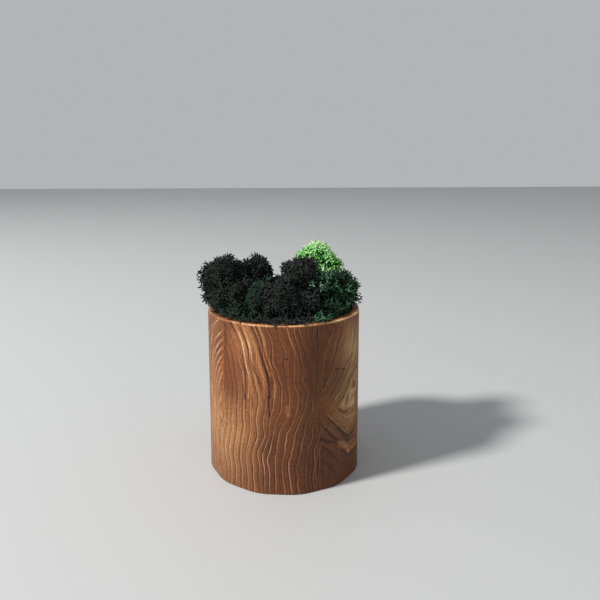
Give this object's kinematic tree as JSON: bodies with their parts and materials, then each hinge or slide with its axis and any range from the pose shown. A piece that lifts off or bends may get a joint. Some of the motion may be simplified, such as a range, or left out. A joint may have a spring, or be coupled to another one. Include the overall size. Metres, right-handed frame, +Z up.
{
  "type": "moss planter",
  "caption": "Small round wooden pot filled with cushions of preserved reindeer moss that lean out over the rim.",
  "frame": {"origin": "centre of the pot's foot, on the surface that it stands on", "axes": "+Z up along the pot's axis; the front of the arrangement faces -Y, with the bright cushion at the back on +X"},
  "size_m": [0.0859, 0.0798, 0.1186],
  "materials": {
    "oiled_hardwood": "solid ring-porous hardwood, sanded and oiled, satin",
    "dry_foam": "fine open foam, dull",
    "dark_moss": "preserved reindeer moss dyed a very dark green, soft and matt",
    "teal_moss": "preserved reindeer moss dyed dark bluish green, soft and matt",
    "bright_moss": "preserved reindeer moss dyed apple green, soft and matt"
  },
  "bodies": {
    "root": {"pot": "oiled_hardwood", "foam_plug": "dry_foam", "moss_left": "dark_moss", "moss_front": "dark_moss", "moss_right": "teal_moss", "moss_back": "dark_moss", "moss_bright": "bright_moss"}
  },
  "joints": []
}
